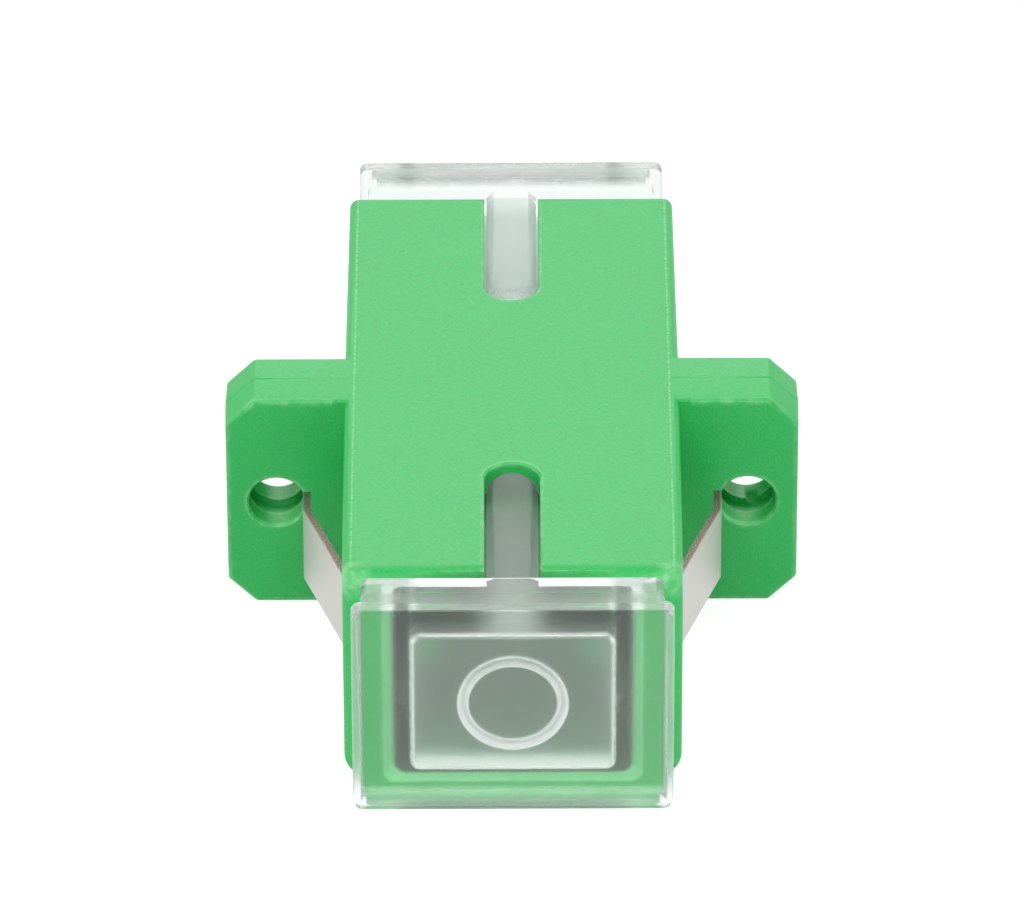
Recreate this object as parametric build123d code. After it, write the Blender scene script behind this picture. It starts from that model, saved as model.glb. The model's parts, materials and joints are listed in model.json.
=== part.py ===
from build123d import *
import os
from math import radians, sin, tan

# Simplex fibre optic adapter with a screw flange, a panel clip and two dust caps.
# Sizes are in millimetres. The origin is the middle of the flange's front face, on the optical
# axis. X runs along the flange, the front port opens towards -Y and the keyways face +Z.

# Flange, split at mid thickness where the two halves of the housing are welded
flange_end_margin = 1.95
flange_half_thickness = 1.55
flange_corner_cut = 1.1
flange_corner_blend = 0.3
flange_draft_deg = 1.5
flange_edge_break = 0.12
weld_groove = 0.05
screw_spacing = 18.1
screw_hole_diameter = 2.15
screw_hole_relief = 0.25
front_relief_depth = 0.65
rear_relief_depth = 0.25
front_hole_break = 0.08
rear_hole_break = 0.35

# Body of the housing
body_width = 12.8
body_height = 9.3
body_reach = 12.0
body_draft_deg = 0.25
bottom_edge_round = 1.0
end_top_round = 0.7
edge_round = 0.35

# Ports and keyways
port_width = 9.1
port_height = 7.5
port_corner_round = 0.4
port_lead_in = 0.3
keyway_width = 2.1
front_keyway_length = 7.6
rear_keyway_length = 7.9
keyway_edge_break = 0.08

# Pegs that line up the two welded halves
peg_diameter = 1.0
peg_height = 0.9
peg_x = 7.1
peg_z = 3.1
peg_clearance = 0.05

# Inner frames that hold the sleeve and latch the connectors
holder_plate_width = 9.9
holder_plate_height = 7.9
holder_plate_thickness = 1.2
holder_corner_round = 0.5
holder_clearance = 0.05
barrel_diameter = 4.6
barrel_lip_thickness = 0.5
barrel_mouth_diameter = 2.9
barrel_tip_chamfer = 0.3
latch_clearance = 0.15
latch_thickness = 0.7
latch_height = 2.8
latch_reach = 9.7
hook_depth = 0.5
hook_length = 1.1
hook_flat = 0.35
hook_nose = 0.5
latch_root_round = 0.3

# Split alignment sleeve
sleeve_length = 11.4
sleeve_diameter = 3.2
sleeve_bore = 2.5
sleeve_slit = 0.4
sleeve_clearance = 0.05
sleeve_edge_chamfer = 0.1

# Spring steel panel clip
clip_thickness = 0.3
clip_flush = 0.08
clip_front_y = -9.1
clip_back_y = -0.6
clip_seat_play = 0.1
flap_top_z = 3.2
flap_corner_round = 0.5
arm_height = 3.1
arm_slit = 0.15
arm_tip_x = 7.99
arm_tip_gap = 1.65
arm_tip_length = 1.2
arm_slope_deg = 19.0
arm_bend_radius = 0.6
catch_length = 2.0
catch_height = 0.5
catch_z = 2.4
catch_y = -4.6
catch_window_play = 0.05

# Dust caps
cap_lip_width = 12.0
cap_lip_thickness = 0.67
cap_block_width = 11.3
cap_height = 9.0
cap_protrusion = 2.24
cap_face_thickness = 0.9
cap_corner_round = 0.35
cap_edge_break = 0.12
plug_clearance = 0.1
plug_length = 7.8
plug_wall = 0.6
plug_corner_round = 0.4
key_clearance = 0.075
key_end_gap = 0.1
key_top_z = 4.45
key_end_chamfer = 0.3
ring_outer_diameter = 4.13
ring_inner_diameter = 3.34
ring_length = 0.3
ring_tip_chamfer = 0.15
hollow_floor_chamfer = 0.22
rear_cap_proud = 0.4

# Places that follow from the sizes above
seam_y = flange_half_thickness
half_length = flange_half_thickness + body_reach
front_end_y = -body_reach
rear_end_y = seam_y + half_length
clip_seat_depth = clip_thickness + clip_flush
barrel_bore = sleeve_diameter + 2 * sleeve_clearance
barrel_reach = sleeve_length / 2 + sleeve_clearance + barrel_lip_thickness
arm_root_x = body_width / 2 - clip_flush - clip_thickness / 2
arm_tip_middle_x = arm_tip_x - clip_thickness / 2
arm_bend_y = -arm_tip_gap - arm_tip_length
arm_fold_y = arm_bend_y - (arm_tip_middle_x - arm_root_x) / tan(radians(arm_slope_deg))
plug_width = port_width - 2 * plug_clearance
plug_height = port_height - 2 * plug_clearance
latch_outer_x = plug_width / 2 - plug_wall - latch_clearance

# Profiles drawn on this plane stand upright, seen from the rear, and grow towards the rear port
upright = Plane(origin=(0, 0, 0), x_dir=(-1, 0, 0), z_dir=(0, 1, 0))


def upright_at(y):
    """The upright plane moved along the optical axis."""
    return upright.offset(y)


def prism(profile, y_from, y_to):
    """Extrude an upright profile from one place on the optical axis to another."""
    return extrude(upright_at(y_from) * profile, y_to - y_from)


def behind_seam(shape):
    """Put a shape that is built with its seam at y = 0 in the rear half."""
    return Pos(0, seam_y, 0) * shape


def before_seam(shape):
    """Turn the same shape round and put it in the front half."""
    return Pos(0, seam_y, 0) * Rot(0, 0, 180) * shape


def half_body():
    """Drafted box of one half, from the seam at y = 0 to the port's end."""
    near = body_width / 2
    far = near - body_reach * tan(radians(body_draft_deg))
    plan = make_face(
        Polyline(
            (-near, 0),
            (near, 0),
            (near, flange_half_thickness),
            (far, half_length),
            (-far, half_length),
            (-near, flange_half_thickness),
            close=True,
        )
    )
    body = Pos(0, 0, -body_height / 2) * extrude(plan, body_height)
    bottom = body.edges().group_by(Axis.Z)[0].filter_by(lambda e: abs(e.center().X) > near / 2)
    body = fillet(bottom, bottom_edge_round)
    body = fillet(body.faces().sort_by(Axis.Y)[-1].edges().sort_by(Axis.Z)[-1], end_top_round)
    sides = body.edges().filter_by(lambda e: abs(e.center().X) > near / 2)
    top = sides.group_by(Axis.Z)[-1]
    bend = sides.filter_by(
        lambda e: e.center().Y > half_length - end_top_round
        and e.center().Z > body_height / 2 - end_top_round
    )
    end = body.faces().sort_by(Axis.Y)[-1].edges().sort_by(Axis.Z)[:-1]
    return fillet(top + bend + end, edge_round)


def half_flange():
    """One half of the flange: a drafted plate with cut corners, flush with the top of the body."""
    outline = Rectangle(screw_spacing + 2 * flange_end_margin, body_height)
    outline = chamfer(outline.vertices(), flange_corner_cut)
    outline = fillet(outline.vertices(), flange_corner_blend)
    plate = extrude(upright * outline, flange_half_thickness, taper=flange_draft_deg)
    plate = chamfer(plate.faces().sort_by(Axis.Y)[-1].edges(), flange_edge_break)
    return chamfer(plate.faces().sort_by(Axis.Y)[0].edges(), weld_groove)


def keyway_cut(length):
    """Slot through the top wall, open at the port's end and round at the other, with broken edges."""
    end_y = half_length - length + keyway_width / 2

    def plan(width):
        straight = Pos(0, end_y + length / 2) * Rectangle(width, length)
        return straight + Pos(0, end_y) * Circle(width / 2)

    slot = extrude(plan(keyway_width), body_height)
    broken = Pos(0, 0, body_height / 2) * plan(keyway_width + 2 * keyway_edge_break)
    return slot + extrude(broken, -keyway_edge_break, taper=45)


def port_cut():
    """Rectangular port with a lead-in, and the wider pocket at the seam for the inner frame."""
    port = prism(RectangleRounded(port_width, port_height, port_corner_round), 0, half_length)
    wide = RectangleRounded(port_width + 2 * port_lead_in, port_height + 2 * port_lead_in, port_corner_round)
    narrow = RectangleRounded(port_width, port_height, port_corner_round)
    lead_in = loft([upright_at(half_length - port_lead_in) * narrow, upright_at(half_length) * wide])
    pocket_width = holder_plate_width + 2 * holder_clearance
    pocket_height = holder_plate_height + 2 * holder_clearance
    pocket_profile = RectangleRounded(pocket_width, pocket_height, holder_corner_round)
    return port + lead_in + prism(pocket_profile, 0, holder_plate_thickness)


def screw_hole_cuts(relief_depth, edge_break):
    """Screw holes, each a little wider beside the seam and with its outer edge broken."""
    spots = Locations((-screw_spacing / 2, 0), (screw_spacing / 2, 0))
    holes = [spot * Circle(screw_hole_diameter / 2) for spot in spots]
    reliefs = [spot * Circle(screw_hole_diameter / 2 + screw_hole_relief) for spot in spots]
    mouths = [spot * Circle(screw_hole_diameter / 2 + edge_break) for spot in spots]
    broken = upright_at(flange_half_thickness) * (Sketch() + mouths)
    cuts = prism(Sketch() + holes, 0, flange_half_thickness)
    cuts = cuts + extrude(broken, -edge_break, taper=45)
    return cuts + prism(Sketch() + reliefs, 0, relief_depth)


def pegs():
    """Two pegs on opposite corners of the seam face."""
    spots = Locations((peg_x, -peg_z), (-peg_x, peg_z))
    return prism(Sketch() + [spot * Circle(peg_diameter / 2) for spot in spots], -peg_height, 0)


def peg_sockets():
    """Sockets for the other half's pegs."""
    spots = Locations((-peg_x, -peg_z), (peg_x, peg_z))
    radius = peg_diameter / 2 + peg_clearance
    depth = peg_height + 2 * peg_clearance
    return prism(Sketch() + [spot * Circle(radius) for spot in spots], 0, depth)


def housing_half(keyway_length, relief_depth, hole_break):
    """One welded half with its seam at y = 0 and its port opening towards +Y."""
    half = half_body() + half_flange()
    half = half - port_cut() - keyway_cut(keyway_length)
    half = half - screw_hole_cuts(relief_depth, hole_break) - peg_sockets()
    return half + pegs()


def clip_section(inset, top_z):
    """Section of the body below top_z, shrunk by inset, with its rounded bottom corners."""
    width = body_width - 2 * inset
    bottom_z = -body_height / 2 + inset
    section = Pos(0, (top_z + bottom_z) / 2) * Rectangle(width, top_z - bottom_z)
    corners = section.vertices().group_by(Axis.Y)[0]
    return fillet(corners, bottom_edge_round - inset)


def clip_seat_cut():
    """Shallow step round the bottom and the sides of the front half, where the clip lies."""
    top_z = flap_top_z + clip_seat_play
    outside = Pos(0, (top_z - body_height) / 2) * Rectangle(2 * body_width, top_z + body_height)
    ring = outside - clip_section(clip_seat_depth, top_z)
    return prism(ring, clip_front_y - clip_seat_play, clip_back_y + clip_seat_play)


def catch_wedge():
    """Wedge on the side of the body that snaps into the clip's small window."""
    floor_x = body_width / 2 - clip_seat_depth
    low = catch_z - catch_height / 2
    high = catch_z + catch_height / 2
    root_x = floor_x - clip_seat_depth
    profile = make_face(
        Polyline((root_x, low), (floor_x, low), (floor_x + clip_thickness, high), (root_x, high), close=True)
    )
    return Pos(0, catch_y, 0) * extrude(Plane.XZ * profile, catch_length / 2, both=True)


def housing_front():
    """Front half, with the seat and the wedges for the clip."""
    half = before_seam(housing_half(front_keyway_length, front_relief_depth, front_hole_break))
    half = half - clip_seat_cut()
    return half + catch_wedge() + mirror(catch_wedge(), Plane.YZ)


def housing_rear():
    """Rear half, plain outside."""
    return behind_seam(housing_half(rear_keyway_length, rear_relief_depth, rear_hole_break))


def latch_arm():
    """Flexible arm with an inward hook that grips a connector."""
    outer = latch_outer_x
    inner = outer - latch_thickness
    catch_y_local = latch_reach - hook_length
    plan = make_face(
        Polyline(
            (outer, 0),
            (outer, latch_reach),
            (outer - hook_nose, latch_reach),
            (inner - hook_depth, catch_y_local + hook_flat),
            (inner - hook_depth, catch_y_local),
            (inner, catch_y_local),
            (inner, 0),
            close=True,
        )
    )
    return extrude(plan, latch_height / 2, both=True)


def sleeve_holder():
    """Inner frame with its seam at y = 0: plate, half barrel and two latch arms."""
    plate = prism(
        RectangleRounded(holder_plate_width, holder_plate_height, holder_corner_round),
        0,
        holder_plate_thickness,
    )
    barrel = prism(Circle(barrel_diameter / 2), 0, barrel_reach)
    barrel = chamfer(barrel.faces().sort_by(Axis.Y)[-1].edges(), barrel_tip_chamfer)
    frame = plate + latch_arm() + mirror(latch_arm(), Plane.YZ)
    roots = frame.edges().filter_by(Axis.Z).filter_by(
        lambda e: abs(e.center().Y - holder_plate_thickness) < 0.01 and abs(e.center().X) < latch_outer_x + 0.01
    )
    frame = fillet(roots, latch_root_round) + barrel
    bore = prism(Circle(barrel_bore / 2), 0, barrel_reach - barrel_lip_thickness)
    return frame - bore - prism(Circle(barrel_mouth_diameter / 2), 0, barrel_reach)


def alignment_sleeve():
    """Split tube, centred on the seam, with its slit on top."""
    ring = Circle(sleeve_diameter / 2) - Circle(sleeve_bore / 2)
    sleeve = prism(ring, -sleeve_length / 2, sleeve_length / 2)
    sleeve = chamfer(sleeve.edges().filter_by(GeomType.CIRCLE), sleeve_edge_chamfer)
    slit = Pos(0, 0, sleeve_diameter / 2) * Box(sleeve_slit, 2 * sleeve_length, sleeve_diameter)
    return behind_seam(sleeve - slit)


def clip_arm():
    """Lanced latch arm: a flat strip that leaves the flap at the fold and ends beside the flange."""
    path = FilletPolyline(
        (arm_root_x, arm_fold_y - arm_bend_radius),
        (arm_root_x, arm_fold_y),
        (arm_tip_middle_x, arm_bend_y),
        (arm_tip_middle_x, -arm_tip_gap),
        radius=arm_bend_radius,
    )
    return extrude(trace(path, line_width=clip_thickness), arm_height / 2, both=True)


def panel_clip():
    """U of spring steel under the body, with a lanced arm and a small window in each flap."""
    section = clip_section(clip_flush, flap_top_z) - clip_section(clip_seat_depth, flap_top_z)
    clip = prism(section, clip_front_y, clip_back_y)
    corners = clip.edges().filter_by(Axis.X).group_by(Axis.Z)[-1]
    clip = fillet(corners, flap_corner_round)
    flat_arm = (arm_tip_middle_x - arm_root_x) / sin(radians(arm_slope_deg)) + arm_tip_length
    window_length = flat_arm + arm_slit
    arm_window = Box(2 * body_width, window_length, arm_height + 2 * arm_slit)
    catch_window = Box(
        2 * body_width,
        catch_length + 2 * catch_window_play,
        catch_height + 2 * catch_window_play,
    )
    clip = clip - Pos(0, arm_fold_y + window_length / 2, 0) * arm_window
    clip = clip - Pos(0, catch_y, catch_z) * catch_window
    return clip + clip_arm() + mirror(clip_arm(), Plane.YZ)


def dust_cap(key_length):
    """Cap with its seat on the port's end at y = 0, its plug towards -Y and its face towards +Y."""
    lip = prism(
        RectangleRounded(cap_lip_width, cap_height, cap_corner_round),
        cap_protrusion - cap_lip_thickness,
        cap_protrusion,
    )
    lip = chamfer(lip.faces().sort_by(Axis.Y)[-1].edges(), cap_edge_break)
    block = prism(
        RectangleRounded(cap_block_width, cap_height, cap_corner_round),
        0,
        cap_protrusion - cap_lip_thickness,
    )
    plug = prism(RectangleRounded(plug_width, plug_height, plug_corner_round), -plug_length, 0)
    hollow = prism(
        RectangleRounded(plug_width - 2 * plug_wall, plug_height - 2 * plug_wall, plug_corner_round),
        -plug_length,
        cap_protrusion - cap_face_thickness,
    )
    hollow = chamfer(hollow.faces().sort_by(Axis.Y)[-1].edges(), hollow_floor_chamfer)
    shell = lip + block + plug + cap_key(key_length) - hollow
    ring_root = cap_protrusion - cap_face_thickness
    circles = Circle(ring_outer_diameter / 2) - Circle(ring_inner_diameter / 2)
    ring = prism(circles, ring_root - ring_length, ring_root)
    return shell + chamfer(ring.faces().sort_by(Axis.Y)[0].edges(), ring_tip_chamfer)


def cap_key(length):
    """Rib on the plug that fills the keyway, round at its inner end with a broken top edge."""
    width = keyway_width - 2 * key_clearance
    centre_y = -length + width / 2
    plan = Pos(0, centre_y / 2) * Rectangle(width, -centre_y) + Pos(0, centre_y) * Circle(width / 2)
    root_z = plug_height / 2 - plug_wall / 2
    key = Pos(0, 0, root_z) * extrude(plan, key_top_z - root_z)
    arc = key.edges().group_by(Axis.Z)[-1].filter_by(GeomType.CIRCLE)
    return chamfer(arc, key_end_chamfer)


def main():
    os.makedirs("parts", exist_ok=True)
    cap = dust_cap(front_keyway_length - key_end_gap)
    nodes = {
        "housing_front": housing_front(),
        "housing_rear": housing_rear(),
        "sleeve_holder_front": before_seam(sleeve_holder()),
        "sleeve_holder_rear": behind_seam(sleeve_holder()),
        "alignment_sleeve": alignment_sleeve(),
        "panel_clip": panel_clip(),
        "dust_cap_front": Pos(0, front_end_y, 0) * Rot(0, 0, 180) * cap,
        "dust_cap_rear": Pos(0, rear_end_y + rear_cap_proud, 0) * cap,
    }
    for name, shape in nodes.items():
        export_step(shape, f"parts/{name}.step")


main()
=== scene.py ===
import bpy
import json
import math
from mathutils import Matrix, Vector


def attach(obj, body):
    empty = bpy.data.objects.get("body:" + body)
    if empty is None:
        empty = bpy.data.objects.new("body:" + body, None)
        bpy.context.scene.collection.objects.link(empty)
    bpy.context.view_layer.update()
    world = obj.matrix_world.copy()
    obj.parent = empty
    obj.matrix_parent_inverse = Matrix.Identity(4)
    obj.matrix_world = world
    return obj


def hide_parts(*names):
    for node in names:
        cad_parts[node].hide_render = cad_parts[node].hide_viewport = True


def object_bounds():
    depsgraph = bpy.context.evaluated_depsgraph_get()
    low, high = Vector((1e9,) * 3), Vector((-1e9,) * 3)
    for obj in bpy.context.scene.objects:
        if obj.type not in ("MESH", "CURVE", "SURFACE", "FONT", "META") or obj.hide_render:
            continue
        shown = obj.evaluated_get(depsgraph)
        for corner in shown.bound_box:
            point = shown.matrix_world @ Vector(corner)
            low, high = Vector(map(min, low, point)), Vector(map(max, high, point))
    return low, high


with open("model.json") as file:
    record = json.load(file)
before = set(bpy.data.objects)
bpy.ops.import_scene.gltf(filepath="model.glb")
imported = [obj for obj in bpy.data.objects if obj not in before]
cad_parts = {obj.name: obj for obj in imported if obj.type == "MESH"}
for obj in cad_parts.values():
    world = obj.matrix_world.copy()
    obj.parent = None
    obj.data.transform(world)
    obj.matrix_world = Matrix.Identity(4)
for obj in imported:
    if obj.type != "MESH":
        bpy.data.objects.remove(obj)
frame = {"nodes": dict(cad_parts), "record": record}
cad_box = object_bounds()

# Housing halves: two mouldings of green PBT, welded to each other at the middle of the flange. Their cavities
# were spark-eroded, so faces are satin with a fine grain. Handling has worn corners pale, and the pale edges
# and corners are partly a painted highlight.
MM = 0.001
GREEN_PBT = "#29C05D"
PALE_WEAR_AND_HIGHLIGHT_GREEN = "#9BE8A6"
PBT_IOR = 1.54
# The real grain is about 0.03 mm. It is drawn coarser, so that it shows in the render.
GRAIN_MM = 0.09
CLOUD_MM = 4.0
SPECK_MM = 0.4
RUB_MM = 0.5
EDGE_MM = 0.36
# Pale worn edges, partly a painted highlight, stay off the weld seam and off the inner corners where the
# flange meets the body.
SEAM_Y_MM = 1.55
SEAM_REACH_MM = 0.35
BODY_SIDE_MM = 6.4
BODY_SIDE_REACH_MM = 0.45
FLANGE_REACH_MM = 2.0
# A broken pale line is painted just inside the long edges of the top, partly a scratch and partly a painted
# highlight; the front top corners are painted paler, partly knocked and partly a painted highlight.
TOP_LINE_MM = 6.03
TOP_LINE_HALF_MM = 0.035
FRONT_CORNER_MM = (6.2, -12.0, 4.5)
PALE_CORNER_OUTER_MM = 1.1
PALE_CORNER_INNER_MM = 0.4
# A noise texture spends nearly all of its surface between these two values.
NOISE_LOW, NOISE_HIGH = 0.3, 0.7
WELD_DISTANCE = 0.00001 * MM
COPLANAR_DEG = 0.2
SHARP_DEG = 35
FACE_AREA_WEIGHT = 100


def linear(colour):
    """Scene-linear red, green, blue and alpha of an sRGB hex colour."""
    channels = [int(colour[i:i + 2], 16) / 255 for i in (1, 3, 5)]
    return [c / 12.92 if c <= 0.04045 else ((c + 0.055) / 1.055) ** 2.4 for c in channels] + [1.0]


def node(tree, kind, settings=None, links=None):
    """Add a node, set its properties and inputs, and link sockets or the first outputs of nodes to it."""
    made = tree.nodes.new(kind)
    for name, value in (settings or {}).items():
        if isinstance(name, str) and hasattr(made, name):
            setattr(made, name, value)
        else:
            made.inputs[name].default_value = value
    for name, source in (links or {}).items():
        socket = source.outputs[0] if isinstance(source, bpy.types.Node) else source
        tree.links.new(socket, made.inputs[name])
    return made


def new_material(name):
    """A material and its node tree, with nothing in it yet."""
    material = bpy.data.materials.new(name)
    material.use_nodes = True
    material.node_tree.nodes.clear()
    return material, material.node_tree


def per_metre(size_mm):
    """Texture scale of a pattern whose features are size_mm apart."""
    return 1 / (size_mm * MM)


def apply_modifiers(piece):
    """Give a piece the mesh that its modifiers make, and take them off."""
    depsgraph = bpy.context.evaluated_depsgraph_get()
    mesh = bpy.data.meshes.new_from_object(piece.evaluated_get(depsgraph))
    piece.modifiers.clear()
    piece.data = mesh


def finished(name, material):
    """Smooth copy of a moulded or pressed piece, which stands for its frame node."""
    piece = bpy.data.objects.new(name + "_finish", frame["nodes"][name].data.copy())
    bpy.context.scene.collection.objects.link(piece)
    weld = piece.modifiers.new("weld", "WELD")
    weld.merge_threshold = WELD_DISTANCE
    join = piece.modifiers.new("join flat triangles", "DECIMATE")
    join.decimate_type = "DISSOLVE"
    join.angle_limit = math.radians(COPLANAR_DEG)
    apply_modifiers(piece)
    mesh = piece.data
    mesh.polygons.foreach_set("use_smooth", [True] * len(mesh.polygons))
    mesh.set_sharp_from_angle(angle=math.radians(SHARP_DEG))
    shade = piece.modifiers.new("flat faces stay flat", "WEIGHTED_NORMAL")
    shade.keep_sharp = True
    shade.weight = FACE_AREA_WEIGHT
    apply_modifiers(piece)
    piece.data.materials.clear()
    piece.data.materials.append(material)
    bodies = frame["record"]["behaviour"]["bodies"]
    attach(piece, next(body for body, nodes in bodies.items() if name in nodes))
    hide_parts(name)
    return piece


def wear_and_highlights(tree, place, grain):
    """How pale the green is painted: worn edges, specks of dust, a broken top line and knocked front corners;
    the edges, line and corners are partly a painted highlight.
    """
    rub = node(tree, "ShaderNodeTexNoise", {"Scale": per_metre(RUB_MM), "Detail": 4.0}, {"Vector": place})
    speck = node(
        tree, "ShaderNodeTexVoronoi", {"Scale": per_metre(SPECK_MM), "Randomness": 1.0}, {"Vector": place}
    )
    spot = node(tree, "ShaderNodeSeparateXYZ", None, {"Vector": place})
    normal = node(tree, "ShaderNodeNewGeometry").outputs["Normal"]
    facing = node(tree, "ShaderNodeSeparateXYZ", None, {"Vector": normal})
    sideways = node(tree, "ShaderNodeMath", {"operation": "ABSOLUTE"}, {0: spot.outputs["X"]})

    # Painted edge highlight, partly real wear: convex edges found by the bevel are painted paler.
    rounded = node(tree, "ShaderNodeBevel", {"samples": 6, "Radius": EDGE_MM * MM})
    turn = node(tree, "ShaderNodeVectorMath", {"operation": "DOT_PRODUCT"}, {0: rounded, 1: normal})
    corner = node(
        tree, "ShaderNodeMapRange", {"From Min": 0.985, "From Max": 0.9}, {"Value": turn.outputs["Value"]}
    )
    patchy = node(
        tree, "ShaderNodeMapRange", {"From Min": 0.42, "From Max": 0.62, "To Min": 0.25, "To Max": 0.85},
        {"Value": rub},
    )
    worn_and_highlit_edges = node(tree, "ShaderNodeMath", {"operation": "MULTIPLY"}, {0: corner, 1: patchy})
    on_seam = node(
        tree, "ShaderNodeMath", {"operation": "COMPARE", 1: SEAM_Y_MM * MM, 2: SEAM_REACH_MM * MM},
        {0: spot.outputs["Y"]},
    )
    near_side = node(
        tree, "ShaderNodeMath", {"operation": "COMPARE", 1: BODY_SIDE_MM * MM, 2: BODY_SIDE_REACH_MM * MM},
        {0: sideways},
    )
    near_flange = node(
        tree, "ShaderNodeMath", {"operation": "COMPARE", 1: SEAM_Y_MM * MM, 2: FLANGE_REACH_MM * MM},
        {0: spot.outputs["Y"]},
    )
    inner_corner = node(tree, "ShaderNodeMath", {"operation": "MULTIPLY"}, {0: near_side, 1: near_flange})
    sheltered = node(tree, "ShaderNodeMath", {"operation": "MAXIMUM"}, {0: on_seam, 1: inner_corner})
    edge = node(tree, "ShaderNodeMath", {"operation": "SUBTRACT", "use_clamp": True}, {0: worn_and_highlit_edges, 1: sheltered})

    dust = node(
        tree, "ShaderNodeMapRange", {"From Min": 0.08, "From Max": 0.04, "To Min": 0.0, "To Max": 0.3},
        {"Value": speck},
    )

    upward = node(tree, "ShaderNodeMath", {"operation": "GREATER_THAN", 1: 0.9}, {0: facing.outputs["Z"]})
    # Painted highlight line, partly a real scratch: a pale line on the top just inside its long edges.
    line = node(
        tree, "ShaderNodeMath", {"operation": "COMPARE", 1: TOP_LINE_MM * MM, 2: TOP_LINE_HALF_MM * MM},
        {0: sideways},
    )
    top_line = node(tree, "ShaderNodeMath", {"operation": "MULTIPLY"}, {0: line, 1: upward})
    broken = node(
        tree, "ShaderNodeMapRange", {"From Min": 0.42, "From Max": 0.58, "To Min": 0.05, "To Max": 0.5},
        {"Value": grain},
    )
    scratched_and_highlit = node(tree, "ShaderNodeMath", {"operation": "MULTIPLY"}, {0: top_line, 1: broken})

    # Painted highlight on the front top corners, partly real knocks: they are painted paler near each corner.
    mirrored = node(
        tree, "ShaderNodeCombineXYZ", None, {"X": sideways, "Y": spot.outputs["Y"], "Z": spot.outputs["Z"]}
    )
    away = node(
        tree, "ShaderNodeVectorMath", {"operation": "DISTANCE", 1: [size * MM for size in FRONT_CORNER_MM]},
        {0: mirrored},
    )
    near = node(
        tree, "ShaderNodeMapRange", {"From Min": PALE_CORNER_OUTER_MM * MM, "From Max": PALE_CORNER_INNER_MM * MM},
        {"Value": away.outputs["Value"]},
    )
    knocked_and_highlit = node(tree, "ShaderNodeMath", {"operation": "MULTIPLY"}, {0: near, 1: patchy})

    marks = node(tree, "ShaderNodeMath", {"operation": "MAXIMUM"}, {0: scratched_and_highlit, 1: knocked_and_highlit})
    spots = node(tree, "ShaderNodeMath", {"operation": "MAXIMUM"}, {0: edge, 1: dust})
    return node(tree, "ShaderNodeMath", {"operation": "MAXIMUM"}, {0: spots, 1: marks})


def moulded_green():
    """Moulded PBT: satin from the cavity's grain, with light spread under the surface, pale wear and dust; the
    pale on edges, top line and front corners is partly a painted highlight.
    """
    material, tree = new_material("moulded_green_pbt")
    place = node(tree, "ShaderNodeTexCoord").outputs["Object"]
    grain = node(tree, "ShaderNodeTexNoise", {"Scale": per_metre(GRAIN_MM), "Detail": 3.0}, {"Vector": place})
    cloud = node(tree, "ShaderNodeTexNoise", {"Scale": per_metre(CLOUD_MM), "Detail": 2.0}, {"Vector": place})
    rough = node(
        tree, "ShaderNodeMapRange",
        {"From Min": NOISE_LOW, "From Max": NOISE_HIGH, "To Min": 0.38, "To Max": 0.48}, {"Value": grain},
    )
    uneven = node(
        tree, "ShaderNodeMapRange",
        {"From Min": NOISE_LOW, "From Max": NOISE_HIGH, "To Min": 0.985, "To Max": 1.015}, {"Value": cloud},
    )
    mottle = node(
        tree, "ShaderNodeMapRange",
        {"From Min": NOISE_LOW, "From Max": NOISE_HIGH, "To Min": 0.9, "To Max": 1.1}, {"Value": grain},
    )
    value = node(tree, "ShaderNodeMath", {"operation": "MULTIPLY"}, {0: uneven, 1: mottle})
    colour = node(tree, "ShaderNodeHueSaturation", {"Color": linear(GREEN_PBT)}, {"Value": value})
    # The pale green paints wear, dust and painted highlights on edges, the top line and the front corners.
    shade = node(
        tree, "ShaderNodeMix", {"data_type": "RGBA", 7: linear(PALE_WEAR_AND_HIGHLIGHT_GREEN)},
        {0: wear_and_highlights(tree, place, grain), 6: colour},
    )
    bump = node(tree, "ShaderNodeBump", {"Strength": 0.8, "Distance": 0.02 * MM}, {"Height": grain})
    shader = node(
        tree, "ShaderNodeBsdfPrincipled",
        {"IOR": PBT_IOR, "Subsurface Weight": 0.2, "Subsurface Radius": (0.15, 1.0, 0.35),
         "Subsurface Scale": 0.3 * MM},
        {"Base Color": shade.outputs[2], "Roughness": rough, "Normal": bump},
    )
    node(tree, "ShaderNodeOutputMaterial", None, {"Surface": shader})
    return material


green = moulded_green()
for name in ("housing_front", "housing_rear"):
    finished(name, green)

# Inner frames: two more mouldings of the same green PBT, snapped in behind the ports, each with a half
# barrel and two latch arms. They show only once a dust cap is out.
for name in ("sleeve_holder_front", "sleeve_holder_rear"):
    finished(name, green)

# Alignment sleeve: a split tube of zirconia ceramic, sintered, ground and polished. It floats between
# the two half barrels, which trap it.
ZIRCONIA_WHITE = "#EDEBE2"
ZIRCONIA_IOR = 2.15
# Real grinding marks are finer. They are drawn coarser, so that they show in a close view.
GRIND_MM = 0.05


def ground_zirconia():
    """Polished white ceramic: glossy and slightly milky, with fine grinding marks."""
    material, tree = new_material("ground_zirconia")
    place = node(tree, "ShaderNodeTexCoord").outputs["Object"]
    marks = node(tree, "ShaderNodeTexNoise", {"Scale": per_metre(GRIND_MM), "Detail": 2.0}, {"Vector": place})
    rough = node(tree, "ShaderNodeMapRange", {"To Min": 0.08, "To Max": 0.2}, {"Value": marks})
    shader = node(
        tree, "ShaderNodeBsdfPrincipled",
        {"Base Color": linear(ZIRCONIA_WHITE), "IOR": ZIRCONIA_IOR, "Subsurface Weight": 0.2,
         "Subsurface Scale": 0.3 * MM},
        {"Roughness": rough},
    )
    node(tree, "ShaderNodeOutputMaterial", None, {"Surface": shader})
    return material


finished("alignment_sleeve", ground_zirconia())

# Panel clip: a strip of stainless spring steel 0.3 mm thick, blanked, lanced and bent to a U, and pushed
# on from below until its flaps catch. Faces keep the rolling lines, and sheared edges are torn and dark.
STEEL_FACE = "#C8C5C1"
STEEL_TORN = "#54463F"
STEEL_SHEARED = "#D2C2BB"
# Rolling lines and tears are really finer. They are drawn coarser, so that they show in the render.
ROLLING_MM = 0.06
ROLLING_STRETCH = 0.08
TEAR_MM = 0.05
SHEAR_MM = 0.13


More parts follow.
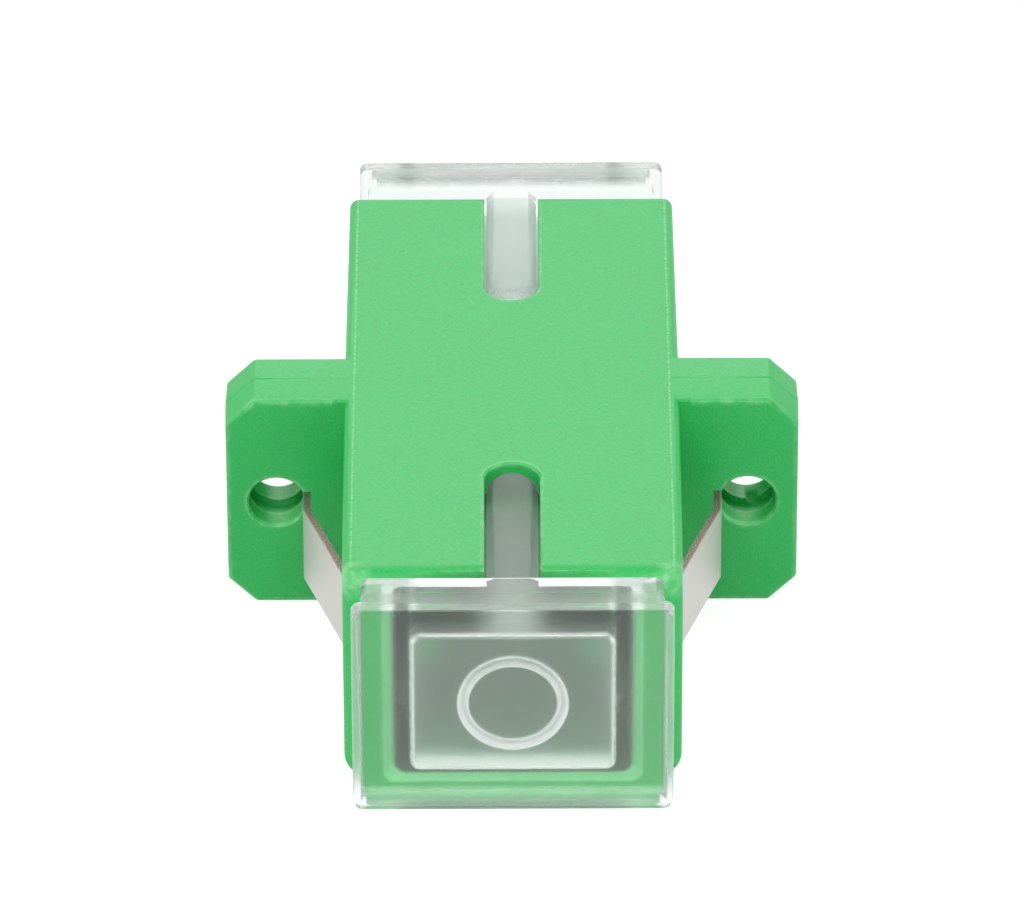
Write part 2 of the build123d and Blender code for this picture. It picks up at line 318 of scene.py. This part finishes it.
def rolled_steel():
    """Rolled and blanked steel: satin faces with lines along the strip, and rough brownish upper edges."""
    material, tree = new_material("rolled_spring_steel")
    place = node(tree, "ShaderNodeTexCoord").outputs["Object"]
    along = node(tree, "ShaderNodeMapping", {"Scale": (1.0, ROLLING_STRETCH, 1.0)}, {"Vector": place})
    lines = node(tree, "ShaderNodeTexNoise", {"Scale": per_metre(ROLLING_MM), "Detail": 4.0}, {"Vector": along})
    rough = node(tree, "ShaderNodeMapRange", {"To Min": 0.26, "To Max": 0.42}, {"Value": lines})
    bump = node(tree, "ShaderNodeBump", {"Strength": 0.15, "Distance": 0.003 * MM}, {"Height": lines})
    face = node(
        tree, "ShaderNodeBsdfPrincipled", {"Base Color": linear(STEEL_FACE), "Metallic": 1.0},
        {"Roughness": rough, "Normal": bump},
    )

    tear = node(tree, "ShaderNodeTexNoise", {"Scale": per_metre(TEAR_MM), "Detail": 3.0}, {"Vector": place})
    torn = node(tree, "ShaderNodeMapRange", {"From Min": 0.4, "From Max": 0.75}, {"Value": tear})
    spot = node(tree, "ShaderNodeSeparateXYZ", None, {"Vector": place})
    arm = node(tree, "ShaderNodeMath", {"operation": "SIGN"}, {0: spot.outputs["X"]})
    rounded = node(tree, "ShaderNodeBevel", {"samples": 4, "Radius": SHEAR_MM * MM})
    leaning = node(tree, "ShaderNodeSeparateXYZ", None, {"Vector": rounded})
    outward = node(tree, "ShaderNodeMath", {"operation": "MULTIPLY"}, {0: leaning.outputs["X"], 1: arm})
    burnished = node(tree, "ShaderNodeMapRange", {"From Min": 0.15, "From Max": 0.4}, {"Value": outward})
    lighter = node(tree, "ShaderNodeMath", {"operation": "MAXIMUM"}, {0: torn, 1: burnished})
    edge_colour = node(
        tree, "ShaderNodeMix", {"data_type": "RGBA", 6: linear(STEEL_TORN), 7: linear(STEEL_SHEARED)},
        {0: lighter},
    )
    edge_bump = node(tree, "ShaderNodeBump", {"Strength": 0.6, "Distance": 0.02 * MM}, {"Height": tear})
    edge = node(
        tree, "ShaderNodeBsdfPrincipled", {"Metallic": 1.0, "Roughness": 0.45},
        {"Base Color": edge_colour.outputs[2], "Normal": edge_bump},
    )

    normal = node(tree, "ShaderNodeNewGeometry").outputs["Normal"]
    facing = node(tree, "ShaderNodeSeparateXYZ", None, {"Vector": normal})
    upper_edge = node(tree, "ShaderNodeMath", {"operation": "GREATER_THAN", 1: 0.8}, {0: facing.outputs["Z"]})
    both = node(tree, "ShaderNodeMixShader", None, {0: upper_edge, 1: face, 2: edge})
    node(tree, "ShaderNodeOutputMaterial", None, {"Surface": both})
    return material


finished("panel_clip", rolled_steel())

# Dust caps: mouldings of clear soft plastic with a deep hollow and a low ring on its floor. Each plugs a
# port, with its key in the keyway. The cavity was polished outside and left rough on plug and core.
BLOCK_TINT = "#F4F8F7"
PLUG_TINT = "#B6C6BE"
CAP_WHITE = "#F4F6F5"
CAP_SHADOW = "#F2F2F2"
CAP_IOR = 1.5
BLOCK_CLEAR = 0.93
PLUG_CLEAR = 0.97
CORE_ROUGHNESS = 0.42
# Real frosting is finer. Its ripple and its dots are drawn coarser, so that they show in the render.
FROST_MM = 0.22
DOT_MM = 0.09
RING_MIDDLE_MM = 1.87
RING_HALF_WALL_MM = 0.22
RING_TOP_MM = 1.9
RING_SIDE_MM = 0.4
FLOOR_MM = (-13.34, 16.84)
RING_RISE_MM = 0.35
WALL_MIDDLE_MM = 4.15
WALL_HALF_MM = 0.35
PLUG_REACH_MM = 13.5
PLUG_END_MM = (-4.2, 7.7)
PLUG_END_HALF_MM = 0.02


def cap_frosting(tree, place, spot, on_floor, on_plug):
    """Share of white frosting on the ring, the plug's walls and end, and the slanted end of the key."""
    dots = node(tree, "ShaderNodeTexNoise", {"Scale": per_metre(DOT_MM), "Detail": 2.0}, {"Vector": place})
    dotted = node(
        tree, "ShaderNodeMapRange", {"From Min": 0.45, "From Max": 0.6, "To Min": 0.1, "To Max": 0.8},
        {"Value": dots},
    )
    normal = node(tree, "ShaderNodeNewGeometry").outputs["Normal"]
    facing = node(tree, "ShaderNodeSeparateXYZ", None, {"Vector": normal})

    flattened = node(tree, "ShaderNodeVectorMath", {"operation": "MULTIPLY", 1: (1.0, 0.0, 1.0)}, {0: place})
    radius = node(tree, "ShaderNodeVectorMath", {"operation": "LENGTH"}, {0: flattened})
    in_ring = node(
        tree, "ShaderNodeMath", {"operation": "COMPARE", 1: RING_MIDDLE_MM * MM, 2: RING_HALF_WALL_MM * MM},
        {0: radius.outputs["Value"]},
    )
    on_ring = node(tree, "ShaderNodeMath", {"operation": "MULTIPLY"}, {0: on_floor, 1: in_ring})
    thinner_above = node(
        tree, "ShaderNodeMapRange",
        {"From Min": RING_TOP_MM * MM, "From Max": RING_SIDE_MM * MM, "To Min": 0.35, "To Max": 0.9},
        {"Value": spot.outputs["Z"]},
    )
    ring = node(tree, "ShaderNodeMath", {"operation": "MULTIPLY"}, {0: on_ring, 1: thinner_above})
    ends = [
        node(
            tree, "ShaderNodeMath", {"operation": "COMPARE", 1: end_y * MM, 2: PLUG_END_HALF_MM * MM},
            {0: spot.outputs["Y"]},
        )
        for end_y in PLUG_END_MM
    ]
    plug_end = node(tree, "ShaderNodeMath", {"operation": "MAXIMUM"}, {0: ends[0], 1: ends[1]})

    not_lengthwise = node(
        tree, "ShaderNodeMath", {"operation": "COMPARE", 1: 0.0, 2: 0.3}, {0: facing.outputs["Y"]}
    )
    not_upward = node(
        tree, "ShaderNodeMath", {"operation": "COMPARE", 1: 0.0, 2: 0.3}, {0: facing.outputs["Z"]}
    )
    upright = node(tree, "ShaderNodeMath", {"operation": "MULTIPLY"}, {0: not_lengthwise, 1: not_upward})
    dotted_upright = node(tree, "ShaderNodeMath", {"operation": "MULTIPLY"}, {0: upright, 1: dotted})
    sideways = node(tree, "ShaderNodeMath", {"operation": "ABSOLUTE"}, {0: spot.outputs["X"]})
    in_wall = node(
        tree, "ShaderNodeMath", {"operation": "COMPARE", 1: WALL_MIDDLE_MM * MM, 2: WALL_HALF_MM * MM},
        {0: sideways},
    )
    wall = node(tree, "ShaderNodeMath", {"operation": "MULTIPLY"}, {0: dotted_upright, 1: in_wall})

    lengthwise = node(tree, "ShaderNodeMath", {"operation": "ABSOLUTE"}, {0: facing.outputs["Y"]})
    slanted_along = node(tree, "ShaderNodeMath", {"operation": "COMPARE", 1: 0.6, 2: 0.3}, {0: lengthwise})
    slanted_up = node(
        tree, "ShaderNodeMath", {"operation": "COMPARE", 1: 0.6, 2: 0.3}, {0: facing.outputs["Z"]}
    )
    slanted = node(tree, "ShaderNodeMath", {"operation": "MULTIPLY"}, {0: slanted_along, 1: slanted_up})
    dotted_slant = node(tree, "ShaderNodeMath", {"operation": "MULTIPLY"}, {0: slanted, 1: dotted})
    key_end = node(tree, "ShaderNodeMath", {"operation": "MULTIPLY"}, {0: dotted_slant, 1: on_plug})

    tips = node(tree, "ShaderNodeMath", {"operation": "MAXIMUM"}, {0: plug_end, 1: ring})
    sides = node(tree, "ShaderNodeMath", {"operation": "MAXIMUM"}, {0: wall, 1: key_end})
    return node(tree, "ShaderNodeMath", {"operation": "MAXIMUM"}, {0: tips, 1: sides})


def frosted_clear():
    """Clear soft plastic: a faint ripple outside, rough on plug and hollow's floor, white where frosted."""
    material, tree = new_material("frosted_clear_plastic")
    place = node(tree, "ShaderNodeTexCoord").outputs["Object"]
    spot = node(tree, "ShaderNodeSeparateXYZ", None, {"Vector": place})
    floors = [
        node(
            tree, "ShaderNodeMath", {"operation": "COMPARE", 1: floor_y * MM, 2: RING_RISE_MM * MM},
            {0: spot.outputs["Y"]},
        )
        for floor_y in FLOOR_MM
    ]
    on_floor = node(tree, "ShaderNodeMath", {"operation": "MAXIMUM"}, {0: floors[0], 1: floors[1]})
    from_seam = node(
        tree, "ShaderNodeMath", {"operation": "SUBTRACT", 1: SEAM_Y_MM * MM}, {0: spot.outputs["Y"]}
    )
    depth = node(tree, "ShaderNodeMath", {"operation": "ABSOLUTE"}, {0: from_seam})
    on_plug = node(tree, "ShaderNodeMath", {"operation": "LESS_THAN", 1: PLUG_REACH_MM * MM}, {0: depth})
    cored = node(tree, "ShaderNodeMath", {"operation": "MAXIMUM"}, {0: on_floor, 1: on_plug})

    frost = node(tree, "ShaderNodeTexNoise", {"Scale": per_metre(FROST_MM), "Detail": 3.0}, {"Vector": place})
    fine = node(tree, "ShaderNodeMapRange", {"To Min": 0.16, "To Max": 0.3}, {"Value": frost})
    rough = node(tree, "ShaderNodeMix", {3: CORE_ROUGHNESS}, {0: cored, 2: fine})
    bump = node(tree, "ShaderNodeBump", {"Strength": 0.3, "Distance": 0.02 * MM}, {"Height": frost})
    tint = node(
        tree, "ShaderNodeMix", {"data_type": "RGBA", 6: linear(BLOCK_TINT), 7: linear(PLUG_TINT)}, {0: on_plug}
    )
    clearness = node(
        tree, "ShaderNodeMapRange", {"To Min": BLOCK_CLEAR, "To Max": PLUG_CLEAR}, {"Value": on_plug}
    )
    clear_plastic = node(
        tree, "ShaderNodeBsdfPrincipled", {"IOR": CAP_IOR},
        {"Base Color": tint.outputs[2], "Roughness": rough, "Normal": bump, "Transmission Weight": clearness},
    )
    white = node(tree, "ShaderNodeBsdfDiffuse", {"Color": linear(CAP_WHITE)})
    shine = node(tree, "ShaderNodeBsdfTranslucent", {"Color": linear(CAP_WHITE)})
    frosted = node(tree, "ShaderNodeMixShader", {0: 0.5}, {1: white, 2: shine})
    share = cap_frosting(tree, place, spot, on_floor, on_plug)
    plastic = node(tree, "ShaderNodeMixShader", None, {0: share, 1: clear_plastic, 2: frosted})
    rays = node(tree, "ShaderNodeLightPath")
    lit_through = node(tree, "ShaderNodeBsdfTransparent", {"Color": linear(CAP_SHADOW)})
    both = node(
        tree, "ShaderNodeMixShader", None, {0: rays.outputs["Is Shadow Ray"], 1: plastic, 2: lit_through}
    )
    node(tree, "ShaderNodeOutputMaterial", None, {"Surface": both})
    return material


clear = frosted_clear()
for name in ("dust_cap_front", "dust_cap_rear"):
    finished(name, clear)

# Floor: one wide pale matt sheet under the part. It is white where it is seen, also through the caps and
# in the steel, and it keeps the part's soft shadow.
FLOOR_SIZE = 3.0
FLOOR_COLOUR = "#B4B4B4"
FLOOR_SEEN = 0.78
FLOOR_REFLECTED = 0.72


def looked_at(tree, straight, bent):
    """One level where the surroundings are seen straight, another in a reflection or through a piece."""
    rays = node(tree, "ShaderNodeLightPath")
    turned = node(
        tree, "ShaderNodeMath", {"operation": "MAXIMUM"},
        {0: rays.outputs["Is Transmission Ray"], 1: rays.outputs["Is Glossy Ray"]},
    )
    dimmed = node(tree, "ShaderNodeMath", {"operation": "MULTIPLY", 1: bent}, {0: turned})
    seen = node(
        tree, "ShaderNodeMath", {"operation": "MULTIPLY", 1: straight}, {0: rays.outputs["Is Camera Ray"]}
    )
    return node(tree, "ShaderNodeMath", {"operation": "MAXIMUM"}, {0: seen, 1: dimmed})


def pale_floor():
    """Matt pale sheet that looks white and still takes the part's shadow."""
    material, tree = new_material("pale_floor")
    shader = node(
        tree, "ShaderNodeBsdfPrincipled",
        {"Base Color": linear(FLOOR_COLOUR), "Roughness": 0.9, "Specular IOR Level": 0.0,
         "Emission Color": (1, 1, 1, 1)},
        {"Emission Strength": looked_at(tree, FLOOR_SEEN, FLOOR_REFLECTED)},
    )
    node(tree, "ShaderNodeOutputMaterial", None, {"Surface": shader})
    return material


floor_mesh = bpy.data.meshes.new("floor")
reach = FLOOR_SIZE / 2
floor_z = cad_box[0][2]
corners = [(side_x * reach, side_y * reach, floor_z) for side_x, side_y in ((-1, -1), (1, -1), (1, 1), (-1, 1))]
floor_mesh.from_pydata(corners, [], [(0, 1, 2, 3)])
floor = bpy.data.objects.new("floor", floor_mesh)
floor.data.materials.append(pale_floor())
bpy.context.scene.collection.objects.link(floor)

# World and lamps: a white tent round the part that is darker towards the viewer, a large soft lamp high
# in front, one on each side, and one low behind the part that draws the sheen on upper faces.
TENT_LIGHT = 0.22
TENT_SEEN = 1.0
OPEN_SIDE = 0.3
OPEN_SIDE_Y = -0.8
WHITE_SIDE_Y = -0.2

world = bpy.data.worlds.new("tent")
bpy.context.scene.world = world
world.use_nodes = True
sky = world.node_tree
sky.nodes.clear()
way = node(sky, "ShaderNodeTexCoord").outputs["Generated"]
toward = node(sky, "ShaderNodeSeparateXYZ", None, {"Vector": way})
opening = node(
    sky, "ShaderNodeMapRange", {"From Min": OPEN_SIDE_Y, "From Max": WHITE_SIDE_Y, "To Min": OPEN_SIDE},
    {"Value": toward.outputs["Y"]},
)
level = node(
    sky, "ShaderNodeMath", {"operation": "MAXIMUM", 1: TENT_LIGHT}, {0: looked_at(sky, TENT_SEEN, TENT_SEEN)}
)
strength = node(sky, "ShaderNodeMath", {"operation": "MULTIPLY"}, {0: level, 1: opening})
tent = node(sky, "ShaderNodeBackground", {"Color": (1, 1, 1, 1)}, {"Strength": strength})
node(sky, "ShaderNodeOutputWorld", None, {"Surface": tent})


def soft_lamp(name, place, size, power):
    """Square area lamp that points at the part."""
    data = bpy.data.lights.new(name, "AREA")
    data.size = size
    data.energy = power
    lamp = bpy.data.objects.new(name, data)
    lamp.matrix_world = Matrix.Translation(place) @ Vector(place).to_track_quat("Z", "Y").to_matrix().to_4x4()
    bpy.context.scene.collection.objects.link(lamp)


soft_lamp("high_front", (-0.06, -0.42, 0.5), 0.5, 2.3)
soft_lamp("left_side", (-0.5, -0.2, 0.2), 0.4, 1.2)
soft_lamp("right_side", (0.5, -0.2, 0.2), 0.4, 1.3)
soft_lamp("low_behind", (0.0, 0.5, 0.34), 0.5, 1.2)

# Camera: level with the photograph's view, from in front and above through a long lens.
VIEW_ELEVATION = math.radians(33.114)
VIEW_TURN = math.radians(-0.013)
VIEW_ROLL = math.radians(-0.189)
VIEW_DISTANCE = 0.37279
VIEW_TARGET = Vector((0.0, 0.0, 0.002036))
LENS_MM = 342.02

back = Vector((
    math.sin(VIEW_TURN) * math.cos(VIEW_ELEVATION),
    -math.cos(VIEW_TURN) * math.cos(VIEW_ELEVATION),
    math.sin(VIEW_ELEVATION),
))
camera_data = bpy.data.cameras.new("camera")
camera_data.lens = LENS_MM
camera_data.clip_start = 0.01
camera = bpy.data.objects.new("camera", camera_data)
bpy.context.scene.collection.objects.link(camera)
camera.matrix_world = (
    Matrix.Translation(VIEW_TARGET + VIEW_DISTANCE * back)
    @ back.to_track_quat("Z", "Y").to_matrix().to_4x4()
    @ Matrix.Rotation(VIEW_ROLL, 4, "Z")
)
bpy.context.scene.camera = camera
bpy.context.scene.view_settings.view_transform = "Standard"
